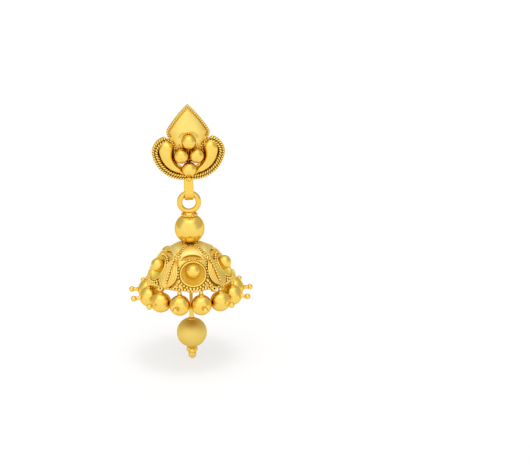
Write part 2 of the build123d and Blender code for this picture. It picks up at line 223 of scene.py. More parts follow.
def clean(obj):
    """Merges doubles and turns every face outwards."""
    edit_all(obj)
    bpy.ops.mesh.remove_doubles(threshold=MERGE_GAP)
    bpy.ops.mesh.normals_make_consistent(inside=False)
    leave_edit()
    return obj


def close_holes(obj):
    """Fills every open edge loop of a mesh."""
    edit_all(obj)
    bpy.ops.mesh.fill_holes(sides=0)
    leave_edit()
    return clean(obj)


def join(name, *objects):
    select_only(*objects)
    if len(objects) > 1:
        bpy.ops.object.join()
    return added(name)


def drop_object(obj):
    bpy.data.objects.remove(obj, do_unlink=True)


def modified(obj, kind, **settings):
    """Applies one modifier to an object."""
    select_only(obj)
    modifier = obj.modifiers.new(kind.lower(), kind)
    for key, value in settings.items():
        setattr(modifier, key, value)
    bpy.ops.object.modifier_apply(modifier=modifier.name)
    return obj


def drawn_line(name, points, closed=False):
    """A chain of edges, drawn by extruding one vertex from point to point."""
    if closed:
        points = points + [points[0]]
    deselect_all()
    bpy.ops.mesh.primitive_plane_add(size=MM, location=(0, 0, 0))
    obj = added(name)
    bpy.ops.object.mode_set(mode="EDIT")
    bpy.ops.mesh.select_all(action="SELECT")
    bpy.ops.mesh.merge(type="CENTER")
    bpy.ops.transform.translate(value=points[0])
    here = Vector(points[0])
    for point in points[1:]:
        step = Vector(point) - here
        bpy.ops.mesh.extrude_vertices_move(TRANSFORM_OT_translate={"value": step})
        here = Vector(point)
    if closed:
        bpy.ops.mesh.select_all(action="SELECT")
        bpy.ops.mesh.remove_doubles(threshold=MERGE_GAP)
    leave_edit()
    return obj


def turned(name, profile, steps):
    """Lathe work about the Z axis through the origin: profile holds (radius, height)."""
    obj = drawn_line(name, [(r, 0, z) for r, z in profile])
    edit_all(obj)
    bpy.ops.mesh.spin(steps=steps, angle=TAU, center=(0, 0, 0), axis=(0, 0, 1))
    leave_edit()
    return clean(obj)


def shaped_grid(name, columns, rows, place):
    """A grid whose point (u, v), each from 0 to 1, is moved to place(u, v)."""
    deselect_all()
    bpy.ops.mesh.primitive_grid_add(x_subdivisions=columns, y_subdivisions=rows, size=2)
    obj = added(name)
    for vertex in obj.data.vertices:
        vertex.co = place((vertex.co.x + 1) / 2, (vertex.co.y + 1) / 2)
    return clean(obj)


def wire(name, points, radius, closed=False, sides=4):
    """Round wire along a drawn line. sides is the curve's bevel resolution."""
    select_only(drawn_line(name, points, closed))
    bpy.ops.object.convert(target="CURVE")
    line = bpy.context.object.data
    line.bevel_depth = radius
    line.bevel_resolution = sides
    line.use_fill_caps = True
    bpy.ops.object.convert(target="MESH")
    return clean(added(name))


def sphere(radius, centre, segments, rings):
    deselect_all()
    bpy.ops.mesh.primitive_uv_sphere_add(segments=segments, ring_count=rings, radius=radius,
                                         location=centre)
    bpy.ops.object.transform_apply(location=True, rotation=True, scale=True)
    return bpy.context.object


def moved_copy(obj, matrix, name):
    copy = obj.copy()
    copy.data = obj.data.copy()
    copy.data.transform(matrix)
    copy.name = name
    bpy.context.scene.collection.objects.link(copy)
    return copy


def beads(name, matrices, radius):
    """One mesh holding a small ball at every matrix."""
    deselect_all()
    bpy.ops.mesh.primitive_ico_sphere_add(subdivisions=2, radius=radius)
    bead = bpy.context.object
    count = len(bead.data.vertices)
    base = np.empty(count * 3, np.float64)
    bead.data.vertices.foreach_get("co", base)
    base = np.c_[base.reshape(-1, 3), np.ones(count)]
    faces = [tuple(polygon.vertices) for polygon in bead.data.polygons]
    drop_object(bead)
    points, polygons = [], []
    for index, matrix in enumerate(matrices):
        points.append((base @ np.array(matrix).T)[:, :3])
        polygons += [tuple(corner + index * count for corner in face) for face in faces]
    merged = bpy.data.meshes.new(name)
    merged.from_pydata(np.concatenate(points).tolist(), [], polygons)
    merged.update()
    obj = bpy.data.objects.new(name, merged)
    bpy.context.scene.collection.objects.link(obj)
    return obj


def beads_at(name, centres, radius):
    return beads(name, [Matrix.Translation(centre) for centre in centres], radius)


def spaced(points, pitch, closed=False):
    """Points evenly spaced along a line, about one pitch apart."""
    line = [Vector(p) for p in points]
    if closed:
        line.append(line[0])
    steps = [(b - a).length for a, b in zip(line, line[1:])]
    count = max(2, round(sum(steps) / pitch))
    gap = sum(steps) / count
    placed, travelled, target = [], 0.0, 0.0
    for start, end, step in zip(line, line[1:], steps):
        while target <= travelled + step + 1e-12 and step > 0:
            placed.append(start.lerp(end, (target - travelled) / step))
            target += gap
        travelled += step
    return placed[:count] if closed else placed


def beaded_wire(name, points, radius, pitch, closed=False):
    return beads_at(name, spaced(points, pitch, closed), radius)


STRAND_SLANT = math.radians(52)
STRAND_LONG, STRAND_NARROW, STRAND_DEEP = 1.22, 0.66, 0.95


def rope(name, points, face, radius, pitch):
    """Twisted wire as a row of slanted, crowded beads, seen from the direction of face."""
    lean, sway = math.cos(STRAND_SLANT), math.sin(STRAND_SLANT)
    places = spaced(points, pitch)
    matrices = []
    for index, spot in enumerate(places):
        before, after = places[max(index - 1, 0)], places[min(index + 1, len(places) - 1)]
        along = (after - before).normalized()
        across = face.cross(along).normalized()
        axes = Matrix(((along * lean + across * sway) * STRAND_LONG,
                       (across * lean - along * sway) * STRAND_NARROW, face * STRAND_DEEP))
        matrices.append(Matrix.Translation(spot) @ axes.transposed().to_4x4())
    return clean(beads(name, matrices, radius))


def mm(pairs, base=0.0):
    """Pairs in millimetres as pairs in metres, the second of each counted from base."""
    return [(first * MM, base + second * MM) for first, second in pairs]


def arc(start, middle, end, count):
    """Points of the circular arc through three points of a plane."""
    (ax, ay), (bx, by), (cx, cy) = start, middle, end
    a2, b2, c2 = ax**2 + ay**2, bx**2 + by**2, cx**2 + cy**2
    d = 2 * (ax * (by - cy) + bx * (cy - ay) + cx * (ay - by))
    ux = (a2 * (by - cy) + b2 * (cy - ay) + c2 * (ay - by)) / d
    uy = (a2 * (cx - bx) + b2 * (ax - cx) + c2 * (bx - ax)) / d
    radius = math.hypot(ax - ux, ay - uy)
    first, through, last = (math.atan2(y - uy, x - ux) for x, y in (start, middle, end))
    sweep = (last - first) % TAU
    if (through - first) % TAU > sweep:
        sweep -= TAU
    turns = [first + sweep * i / count for i in range(count + 1)]
    return [(ux + radius * math.cos(t), uy + radius * math.sin(t)) for t in turns]


def curve(knots, counts):
    """Arcs joined end to end: each passes the next two knots, in its own count of steps."""
    points = []
    for index, count in enumerate(counts):
        piece = arc(*knots[2 * index:2 * index + 3], count)
        points += piece[1:] if points else piece
    return points


def along_line(points, share):
    """Point at a share, from 0 to 1, of the length of a line in a plane."""
    steps = [math.dist(a, b) for a, b in zip(points, points[1:])]
    target = share * sum(steps)
    for start, end, step in zip(points, points[1:], steps):
        if target <= step or end is points[-1]:
            t = min(1.0, target / step) if step else 0.0
            return (start[0] + (end[0] - start[0]) * t, start[1] + (end[1] - start[1]) * t)
        target -= step


def ring_points(radius, centre, first, second, count):
    """Points of a circle in the plane of two directions, starting in the first."""
    return [centre + first * (radius * math.cos(t)) + second * (radius * math.sin(t))
            for t in np.linspace(0, TAU, count, endpoint=False)]


def level_ring(radius, z, count):
    """Points of a level circle about the Z axis, starting at the front."""
    return ring_points(radius, UP * z, FRONT, SIDE, count)


def limited(value):
    return min(1.0, max(0.0, value))


def eased(value, low, high):
    """Smooth step from 0 at low to 1 at high."""
    t = limited((value - low) / (high - low))
    return t * t * (3 - 2 * t)


def finished(obj, finish):
    """Gives the whole of an object one finish."""
    obj.data.materials.clear()
    obj.data.materials.append(MATERIALS[finish])
    return obj


def finish_piece(obj, body, node, finish=None, smooth=50):
    """Hands a finished mesh to its CAD body; with no finish named it keeps those it has."""
    select_only(obj)
    bpy.ops.object.transform_apply(location=True, rotation=True, scale=True)
    bpy.ops.object.shade_smooth_by_angle(angle=math.radians(smooth))
    if finish:
        finished(obj, finish)
    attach(obj, body)
    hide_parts(node)


def around_axis(turn):
    """Turns about the bell's hanging axis, for a piece modelled about the origin."""
    return Matrix.Translation((0, AXIS_Y, 0)) @ Matrix.Rotation(turn, 4, "Z")


def on_axis(obj):
    """Moves a piece modelled about the origin to the bell's hanging axis."""
    obj.data.transform(around_axis(0))
    return obj


def facing(direction):
    """Turns the Z axis to a direction."""
    return direction.to_track_quat("Z", "X").to_matrix().to_4x4()


# ---------------------------------------------------------------- materials

class Shade:
    """A socket of a shader tree, with arithmetic."""

    def __init__(self, tree, socket):
        self.tree = tree
        self.socket = socket

    def output(self, name):
        """Another output of the same node."""
        return Shade(self.tree, self.socket.node.outputs[name])

    def math(self, operation, *values):
        return self.tree.add("ShaderNodeMath", {"operation": operation}, dict(enumerate(values)))

    def __add__(self, other):
        return self.math("ADD", self, other)

    def __radd__(self, other):
        return self.math("ADD", other, self)

    def __sub__(self, other):
        return self.math("SUBTRACT", self, other)

    def __rsub__(self, other):
        return self.math("SUBTRACT", other, self)

    def __mul__(self, other):
        return self.math("MULTIPLY", self, other)

    def clamp(self, low=0.0, high=1.0):
        return self.math("MINIMUM", self.math("MAXIMUM", self, low), high)


class ShaderTree:
    """Builds the nodes of one material or world."""

    def __init__(self, owner):
        self.owner = owner
        owner.use_nodes = True
        self.nodes = owner.node_tree.nodes
        self.links = owner.node_tree.links
        self.nodes.clear()

    def put(self, socket, value):
        """Links a shade to a socket, or sets a plain value on it."""
        if isinstance(value, Shade):
            self.links.new(value.socket, socket)
        else:
            socket.default_value = value

    def add(self, kind, settings=None, values=None, output=0):
        node = self.nodes.new(kind)
        for key, value in (settings or {}).items():
            setattr(node, key, value)
        for key, value in (values or {}).items():
            self.put(node.inputs[key], value)
        return Shade(self, node.outputs[output])

    def noise(self, place, scale, detail):
        return self.add("ShaderNodeTexNoise",
                        values={"Vector": place, "Scale": scale, "Detail": detail})

    def ramp(self, value, stops):
        """Colour ramp: stops holds (position, colour)."""
        shade = self.add("ShaderNodeValToRGB", values={0: value})
        elements = shade.socket.node.color_ramp.elements
        while len(elements) < len(stops):
            elements.new(0.5)
        for element, (position, colour) in zip(elements, stops):
            element.position = position
            element.color = colour
        return shade

    def eased(self, value, start, end, low, high):
        """Smooth step from low, where value is start, to high, where it is end."""
        return self.add("ShaderNodeMapRange", {"interpolation_type": "SMOOTHSTEP"}, {
            "Value": value, "From Min": start, "From Max": end, "To Min": low, "To Max": high})

    def mix(self, share, first, second):
        """Colour between first and second."""
        factor, colour_a, colour_b, result = 0, 6, 7, 2
        node = self.nodes.new("ShaderNodeMix")
        node.data_type = "RGBA"
        for index, value in ((factor, share), (colour_a, first), (colour_b, second)):
            self.put(node.inputs[index], value)
        return Shade(self, node.outputs[result])

    def finish(self, shader):
        kind = "World" if isinstance(self.owner, bpy.types.World) else "Material"
        out = self.nodes.new(f"ShaderNodeOutput{kind}")
        self.links.new(shader.socket, out.inputs["Surface"])
        return self.owner


OBJECT_PLACE = 3
AO_VALUE = 1
WHITE = (1, 1, 1, 1)
GLANCING_GOLD = (0.90, 0.60, 0.22, 1.0)
CLOUD_SCALE, GRAIN_SCALE, SCRATCH_SCALE = 380.0, 5200.0, 900.0
SCRATCH_STRETCH = (1.0, 1.0, 9.0)
CLOUD_IN_COLOUR, CLOUD_IN_POLISH = 0.18, 0.10
FLANK_SHADE = 0.62


def rgba(colour):
    return (*colour, 1.0)


def gold(name, clean_colour, polish, grain, scratches, reach=0.35 * MM, stops=(0.06, 0.34, 0.70),
         metal=1.0, flanks=None):
    """Yellow gold, finely worn, with painted shade: clean where open, dark orange in the crevices
    and orange beside other pieces.

    stops are the ambient occlusion values at which the darkest painted shade, the orange painted
    shade and the clean gold stand; reach is how far the occlusion looks. flanks are the distances
    from the middle where the painted shade on the sides starts and ends."""
    colours = bpy.context.scene.jhumka_colours
    tree = ShaderTree(bpy.data.materials.new(name))
    place = tree.add("ShaderNodeTexCoord", output=OBJECT_PLACE)
    cloud = tree.noise(place, CLOUD_SCALE, 3.0)
    fine = tree.noise(place, GRAIN_SCALE, 2.0)
    # Painted shade: ambient occlusion darkens the colour in crevices and beside other pieces.
    occlusion_shade = tree.add("ShaderNodeAmbientOcclusion", {"samples": 6}, {"Distance": reach},
                        output=AO_VALUE)
    shaded_golds = (rgba(colours.recess_shade), rgba(colours.shade_amber), rgba(clean_colour))
    colour = tree.ramp(occlusion_shade + (cloud - 0.5) * CLOUD_IN_COLOUR, tuple(zip(stops, shaded_golds)))
    # Painted shade on the sides: the colour turns orange with distance from the middle.
    if flanks:
        across = tree.add("ShaderNodeSeparateXYZ", values={0: place})
        beside = tree.eased(across.math("ABSOLUTE", across), *flanks, 0.0, FLANK_SHADE)
        colour = tree.mix(beside, colour, rgba(colours.shade_amber))
    rough = (polish + (cloud - 0.5) * CLOUD_IN_POLISH + (fine - 0.5) * grain).clamp(0.05, 0.8)
    stretched = tree.add("ShaderNodeMapping", values={"Vector": place, "Scale": SCRATCH_STRETCH})
    height = fine * grain + tree.noise(stretched, SCRATCH_SCALE, 2.0) * scratches
    bump = tree.add("ShaderNodeBump",
                    values={"Height": height, "Strength": 0.3, "Distance": 0.03 * MM})
    return tree.finish(tree.add("ShaderNodeBsdfPrincipled", values={
        "Base Color": colour, "Metallic": metal, "Roughness": rough, "Normal": bump,
        "Specular Tint": GLANCING_GOLD}))


MATERIALS = {}


def make_materials():
    """Every finish: its name, colour, roughness, grain, scratches and what else differs."""
    colours = bpy.context.scene.jhumka_colours
    for finish, name, colour, polish, grain, scratches, more in (
            ("polished", "polished_gold", colours.bright, 0.24, 0.06, 0.10, {}),
            ("brushed", "brushed_gold", colours.pale, 0.56, 0.10, 0.15, {"metal": 0.9}),
            # The leaf's sides get painted shade.
            ("leaf", "leaf_gold", colours.pale, 0.30, 0.10, 0.20,
             {"flanks": (0.9 * MM, 3.0 * MM)}),
            ("twist", "twisted_gold", colours.pale, 0.20, 0.06, 0.10,
             {"reach": 0.45 * MM, "stops": (0.22, 0.42, 0.62)}),
            ("beads", "beaded_gold", colours.pale, 0.24, 0.06, 0.10,
             {"reach": 0.45 * MM, "stops": (0.22, 0.44, 0.66)}),
            ("seeds", "bead_gold", colours.pale, 0.22, 0.06, 0.10, {"reach": 0.14 * MM}),
            ("inside", "inner_gold", colours.pale, 0.18, 0.12, 0.15, {"reach": 0.10 * MM}),
            # The hood linings take the orange painted shade colour, with more painted shade from
            # occlusion.
            ("lining", "lining_gold", colours.shade_amber, 0.45, 0.12, 0.15,
             {"reach": 0.30 * MM, "stops": (0.0, 0.16, 0.34), "metal": 0.2}),
            # The hoods' lighter gold is a painted highlight.
            ("hood", "hood_gold", colours.light, 0.46, 0.08, 0.12,
             {"reach": 0.10 * MM, "metal": 0.9}),
            # Painted light and shade in the cups: lighter gold, with wide occlusion that darkens
            # round the ball.
            ("dish", "dish_gold", colours.dish, 0.42, 0.08, 0.12,
             {"reach": 0.70 * MM, "stops": (0.0, 0.16, 0.40), "metal": 0.7}),
            ("satin", "satin_gold", colours.satin, 0.34, 0.16, 0.25, {}),
            ("engraved", "engraved_gold", colours.satin, 0.33, 0.18, 0.20, {}),
            ("wire", "gold_wire", colours.deeper, 0.22, 0.08, 0.15, {"reach": 0.50 * MM}),
            ("swell", "swell_gold", colours.bright, 0.25, 0.06, 0.10,
             {"reach": 0.75 * MM, "stops": (0.10, 0.44, 0.86)})):
        MATERIALS[finish] = gold(name, colour, polish, grain, scratches, **more)


# ---------------------------------------------------------------- stud

LEAF_MIDDLE_Z = 3.0 * MM
LEAF_FIELD = 0.84


def leaf_edge():
    """Right-hand edge of the leaf, from tip to foot, as (x, z)."""
    s = stud_sizes()
    upper = [(0, s.leaf_tip),
             (s.leaf_half * 0.60, s.leaf_tip - (s.leaf_tip - s.leaf_shoulder) * 0.53),
             (s.leaf_half, s.leaf_shoulder), (s.leaf_half + 0.02 * MM, 2.75 * MM)]
    lower = mm([(2.9, 2.2), (2.12, 0.42), (1.5, -0.45), (0.86, -1.12), (0, -1.75)])
    return curve(upper + lower, (20, 8, 10, 8))


def crescent_edges():
    """Outer and inner edge of the right half-moon, both from its top to its foot."""
    top = (3.5, 2.28)
    outer = curve([top, (4.85, 1.4), (5.33, -0.1), (4.15, -2.62), (0.12, -4.1)], (16, 24))
    inner = curve([top, (2.72, 1.75), (1.95, 0.98), (2.05, 0.4), (2.08, -0.5), (1.70, -1.5),
                   (0.98, -2.18), (0.62, -2.8), (0.12, -3.42)], (10, 8, 10, 10))
    return mm(outer), mm(inner)


def mirrored(points):
    return [(-x, z) for x, z in points]


def border(name, edge, inset, y, radius, pitch):
    """A rope that runs inside an edge of the stud, at a distance from it."""
    points = []
    for before, here, after in zip([edge[0]] + edge, edge, edge[1:] + [edge[-1]]):
        tangent = Vector((after[0] - before[0], 0, after[1] - before[1])).normalized()
        points.append(Vector((here[0], y, here[1])) + tangent.cross(FRONT) * inset)
    return rope(name, points, FRONT, radius, pitch)


def leaf_body(right, front):
    """Closed leaf: a crowned field, a flat band for the border, and a flat back."""
    crown, steps = stud_sizes().crown, 14
    loop = right + mirrored(right)[-2:0:-1] + [right[0]]
    # (share of the way out from the middle, y), from the front's middle to the back's
    profile = [(LEAF_FIELD * i / steps, front + 0.03 * MM - crown * (1 - (i / steps) ** 2))
               for i in range(steps + 1)]
    profile += [(0.865, front + 0.07 * MM), (0.89, front + 0.08 * MM), (0.985, front + 0.07 * MM),
                (1.0, front + 0.11 * MM), (1.0, -0.03 * MM), (0.99, 0.0), (0.97, 0.0), (0.0, 0.0)]
    rows = len(profile) - 1

    def place(u, v):
        x, z = along_line(loop, u % 1.0)
        share, y = profile[int(round(v * rows))]
        return (x * share, y, LEAF_MIDDLE_Z + (z - LEAF_MIDDLE_Z) * share)

    return shaped_grid("leaf_body", 120, rows, place)


def build_stud_leaf():
    """Crowned leaf with a twisted border, and a fine arch and seeds round the top ball."""
    s = stud_sizes()
    ball_z = box_centre("stud_ball_top").z
    right, front, arch_r = leaf_edge(), -s.plate, 1.42 * MM

    def on_face(x, z):
        half_high = (3.8 if z > LEAF_MIDDLE_Z else 3.2) * MM
        share = math.hypot(x / (3.05 * MM), (z - LEAF_MIDDLE_Z) / half_high)
        return (x, front - max(0.0, s.crown * (1 - (share / LEAF_FIELD) ** 2)) - 0.02 * MM, z)

    body = leaf_body(right, front)
    seen = [p for p in right if p[1] > 2.1 * MM]
    twisted = border("leaf_rope", seen[::-1] + mirrored(seen)[1:], -s.leaf_rope * 0.9,
                     front - 0.10 * MM, s.leaf_rope, s.pitch * 0.86)
    spots = [on_face(side * x, z)
             for side in (-1, 1) for x, z in mm(((1.36, 1.15), (1.78, 0.95), (1.30, 0.62)))]
    seeds = beads_at("leaf_seeds", spots + [on_face(0, ball_z + 1.2 * MM)], 0.17 * MM)
    arch = wire("halo", [on_face(arch_r * math.sin(t), ball_z + arch_r * math.cos(t))
                         for t in np.linspace(-1.2, 1.2, 30)], 0.14 * MM, sides=1)
    leaf = join("leaf", finished(body, "leaf"), finished(twisted, "twist"),
                finished(arch, "twist"), finished(seeds, "beads"))
    finish_piece(leaf, "stud", "stud_leaf")


def half_moon(outer, inner, side):
    """Closed plate between two edges, swollen between a broad and a narrow margin."""
    s = stud_sizes()
    margin_out, margin_in = 0.96 * MM, 0.20 * MM
    swell_from, swell_over = 0.10, 0.13
    steepest, fuller_below = 0.42, 0.3
    rows = 26

    def place(u, v):
        a = Vector(along_line(inner, u)).to_3d()
        b = Vector(along_line(outer, u)).to_3d()
        width = (b - a).length
        row = int(round(v * rows))
        if row in (0, rows):
            share, y = row / rows, 0.0
        else:
            share = (row - 1) / (rows - 2)
            low = min(margin_in, width * 0.15)
            high = width - min(margin_out, width * 0.5)
            swell = limited((share * width - low) / max(high - low, 1e-6))
            rise = math.sqrt(max(0.0, 1 - (2 * swell**0.85 - 1) ** 2))
            top_end = math.sqrt(max(0.0, 1 - (1 - limited((u - swell_from) / swell_over)) ** 2))
            highest = steepest * (high - low) * (1 + fuller_below * u)
            y = -s.plate - rise * min(s.bulge, highest) * top_end
        spot = a.lerp(b, share)
        return (side * spot.x, y, spot.y)

    return close_holes(shaped_grid("half_moon", 72, rows, place))


def build_crescent(side, side_name):
    """Half-moon with a swollen face, two ropes along its outer edge and seeds inside."""
    s = stud_sizes()
    outer, inner = crescent_edges()
    front = -s.plate
    body = half_moon(outer, inner, side)
    if side < 0:
        outer, inner = mirrored(outer), mirrored(inner)
    ropes = [finished(border(f"rope_{index}", outer, side * s.rope * inset,
                             front - (0.12 + 0.10 * index) * MM, s.rope, s.pitch), "twist")
             for index, inset in enumerate((0.85, 2.75))]
    upper = [(x - side * 0.02 * MM, front - 0.06 * MM, z) for x, z in inner[:24]]
    corner = [(side * x, front - 0.08 * MM, z) for x, z in
              mm(((3.05, 1.62), (3.38, 1.50), (3.72, 1.38), (2.72, 1.36), (3.06, 1.22),
                  (3.42, 1.10), (2.66, 0.98), (2.42, 1.22)))]
    seeds = join("seeds", beaded_wire("seeds_in", upper, 0.155 * MM, 0.35 * MM),
                 beads_at("corner_seeds", corner, 0.17 * MM))
    crescent = join(f"crescent_{side_name}_gold", finished(body, "swell"), *ropes,
                    finished(seeds, "beads"))
    finish_piece(crescent, "stud", f"crescent_{side_name}")


def build_crescents():
    build_crescent(-1, "left")
    build_crescent(1, "right")


def build_stud_balls():
    """Four drawn balls, the outer ones moved slightly inwards, each with a seat at its back."""
    drawn_in, raised = 0.045, 0.07 * MM
    seat_from, seat_inset = 0.8, 0.06
    for which in ("top", "left", "right", "bottom"):
        node = f"stud_ball_{which}"
        centre, radius = box_centre(node), box_size(node).x / 2
        centre += Vector((-drawn_in * centre.x, 0, raised if which == "bottom" else 0))
        body = sphere(radius, centre, 48, 28)
        edit_all(body)
        bpy.ops.mesh.select_all(action="DESELECT")
        leave_edit()
        for face in body.data.polygons:
            face.select = face.center.y > centre.y + radius * seat_from
        bpy.ops.object.mode_set(mode="EDIT")
        bpy.ops.mesh.inset(thickness=radius * seat_inset, depth=0)
        leave_edit()
        finish_piece(join(f"ball_{which}", body), "stud", node, "swell")


def build_bail():
    """Flat strap bent to a long loop, its edges rounded, with a solder knob in front."""
    s = stud_sizes()
    low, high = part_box("bail_strap")
    swing_z = RING_Z + (RING_OUT_R - RING_WIRE_R)
    foot_r, top_r = swing_z - low.z - s.strap_thick / 2, 0.57 * MM
    foot, top = (AXIS_Y, swing_z), (1.0 * MM, high.z - top_r - s.strap_thick / 2)
    run, lean = math.dist(top, foot), math.atan2(top[0] - foot[0], top[1] - foot[1])
    taper = math.asin((foot_r - top_r) / run)
    quarter, steps = math.pi / 2, 24
    points = []
    for (cy, cz), radius, start, end in ((foot, foot_r, quarter - taper, 3 * quarter + taper),
                                         (top, top_r, taper - quarter, quarter - taper)):
        for index in range(steps + 1):
            turn = start + (end - start) * index / steps + lean
            points.append((0, cy + radius * math.sin(turn), cz + radius * math.cos(turn)))
    strap = drawn_line("strap", points, closed=True)
    edit_all(strap)
    bpy.ops.transform.translate(value=(-s.strap_width / 2, 0, 0))
    bpy.ops.mesh.extrude_edges_move(TRANSFORM_OT_translate={"value": (s.strap_width, 0, 0)})
    leave_edit()
    modified(clean(strap), "SOLIDIFY", thickness=s.strap_thick, offset=0, use_even_offset=True)
    modified(strap, "BEVEL", width=0.13 * MM, segments=3, limit_method="ANGLE",
             angle_limit=math.radians(50))
    knob = sphere(0.40 * MM, (0, -0.62 * MM, -3.98 * MM), 24, 14)
    finish_piece(join("bail", clean(strap), knob), "stud", "bail_strap", "wire")


def build_post():
    """Turned ear post with a rounded end and a catch groove for its nut."""
    low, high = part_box("ear_post")
    radius, reach, tip_r = (high.x - low.x) / 2, high.y, 0.30 * MM
    profile = [(radius * wide, reach * far) for wide, far in (
        (0, 0), (1, 0), (1, 0.80), (0.97, 0.805), (0.82, 0.815), (0.82, 0.835), (0.97, 0.845),
        (1, 0.85))]
    for turn in np.linspace(0, math.pi / 2, 9):
        profile.append((radius - tip_r * (1 - math.cos(turn)),
                        reach - tip_r * (1 - math.sin(turn))))
    profile.append((0, reach))
    post = turned("post", profile, 40)
    post.data.transform(Matrix.Rotation(-math.pi / 2, 4, "X"))
    finish_piece(post, "stud", "ear_post", "wire")


# ---------------------------------------------------------------- bell

def dome_profile(spread=0.0):
    """Dome's face, from the crown to the brim, as (radius, height)."""
    s = bell_sizes()
    radius = s.cap + spread
    cap_steps, skirt_steps = 30, 12
    turns = [s.skirt * i / cap_steps for i in range(cap_steps + 1)]
    points = [(radius * math.sin(t), s.cap_z + radius * math.cos(t)) for t in turns]
    run = (s.brim - s.cap * math.sin(s.skirt)) / math.cos(s.skirt)
    start = points[-1]
    for i in range(1, skirt_steps + 1):
        way = run * i / skirt_steps
        points.append((start[0] + way * math.cos(s.skirt), start[1] - way * math.sin(s.skirt)))
    return points


def dome_gap(point, spread=0.0):
    """Distance of a point from the dome's face, positive outside."""
    s = bell_sizes()
    radius = math.hypot(point.x, point.y)
    height = point.z - s.cap_z
    if math.atan2(radius, height) < s.skirt:
        return math.hypot(radius, height) - s.cap - spread
    return radius * math.sin(s.skirt) + height * math.cos(s.skirt) - s.cap - spread


def cup_frame():
    """Origin, upslope and outward directions of the front cup."""
    s = bell_sizes()
    out = Vector((0, -math.sin(s.skirt), math.cos(s.skirt)))
    up = Vector((0, math.cos(s.skirt), math.sin(s.skirt)))
    below = s.cap_z + s.cap * math.cos(s.skirt) - s.cup_z
    radius = s.cap * math.sin(s.skirt) + below / math.tan(s.skirt)
    return Vector((0, -radius, s.cup_z)) + out * s.cup_proud, up, out


def on_dome(x, up_slope, spread):
    """Point of the dome's face that lies over (x, up_slope) of the front cup's plane."""
    origin, up, out = cup_frame()
    start = origin + SIDE * x + up * up_slope
    low, high = -4.5 * MM, 2.0 * MM
    for _ in range(40):
        middle = (low + high) / 2
        if dome_gap(start + out * middle, spread) < 0:
            low = middle
        else:
            high = middle
    return start + out * low


def hood_half_at(way):
    """Half width of a hood at a distance up its back from the lip's crest."""
    s = bell_sizes()
    taper, crowding, round_from, round_over = 0.17, 0.69, 0.80, 0.20
    past = max(0.0, way - round_from * s.hood_long) / (round_over * s.hood_long)
    crowded = crowding * s.cap * math.sin(max(s.hood_lip - way / s.cap, 0.0))
    return min(s.hood_half - taper * way, crowded) * math.sqrt(max(0.0, 1 - past**2))


def on_cap(x, turn, lift):
    """Point over the cap at x and at a turn from the top towards the front."""
    s = bell_sizes()
    reach = math.sqrt(s.cap**2 - x * x)
    point = Vector((x, -reach * math.sin(turn), reach * math.cos(turn)))
    return point * ((s.cap + lift) / s.cap) + Vector((0, 0, s.cap_z))


def panel_lines(spread, lift, low_angle):
    """Arch lines of the front panel, right and left: from beside the cup up along the hood."""
    s = bell_sizes()
    foot = s.arch_foot + spread
    lines = []
    for side in (1, -1):
        line = [on_dome(side * foot * math.cos(t), foot * math.sin(t), lift)
                for t in np.linspace(low_angle, 0.25, 9)]
        for way in np.linspace(-0.15 * MM, 0.80 * s.hood_long, 14):
            half = hood_half_at(way) + s.arch_gap + spread
            line.append(on_cap(side * half, s.hood_lip - way / s.cap, lift))
        lines.append(line)
    return lines


def press_dents(shell):
    """Presses the cap's outer face in behind each hood's lip."""
    s = bell_sizes()
    centre = Vector((0, 0, s.cap_z))
    ends = math.degrees(s.hood_lip + s.hood_ends)
    step = TAU / SECTORS
    for vertex in shell.data.vertices:
        here = vertex.co - centre
        if abs(here.length - s.cap) > 0.05 * MM:
            continue
        around = math.atan2(here.x, -here.y)
        around -= step * round(around / step)
        flat = math.hypot(here.x, here.y)
        turn = math.degrees(math.atan2(flat * math.cos(around), here.z))
        share = (eased(abs(flat * math.sin(around)), s.hood_half - 0.08 * MM,
                       s.hood_half - 0.5 * MM)
                 * eased(turn, ends + 0.6, ends - 1.2) * eased(turn, 19, 30))
        vertex.co = here.normalized() * (here.length - s.hood_dent * share) + centre


def dome_shell():
    """Turned dome, dented under each hood and cut through under each cup."""
    s = bell_sizes()
    hole_r, seat_r = 0.46 * MM, 0.8 * MM
    outer, inner = ([p for p in dome_profile(spread) if p[0] > 0.9 * MM]
                    for spread in (0, -s.wall))
    top, under = outer[0][1], inner[0][1]
    lowest = (hole_r, under + 0.1 * MM)
    shell = turned("shell", [lowest, (hole_r, top - 0.12 * MM), (seat_r, top - 0.1 * MM), *outer,
                             *inner[::-1], (seat_r, under + 0.05 * MM), lowest], 160)
    press_dents(shell)
    origin, _, out = cup_frame()
    cutters = []
    for index in range(SECTORS):
        deselect_all()
        bpy.ops.mesh.primitive_cylinder_add(vertices=64, radius=s.cup - 0.15 * MM, depth=4 * MM)
        cutters.append(added("cutter"))
        cutters[-1].data.transform(Matrix.Rotation(index * TAU / SECTORS, 4, "Z")
                                   @ Matrix.Translation(origin) @ facing(out))
    cutter = join("cutter", *cutters)
    modified(shell, "BOOLEAN", operation="DIFFERENCE", object=cutter, solver="EXACT")
    drop_object(cutter)
    finished(shell, "satin").data.materials.append(MATERIALS["inside"])
    for face in shell.data.polygons:
        inwards = face.normal.dot(face.center - Vector((0, 0, s.cap_z))) < 0
        face.material_index = int(inwards and dome_gap(face.center) < -0.2 * MM)
    return shell


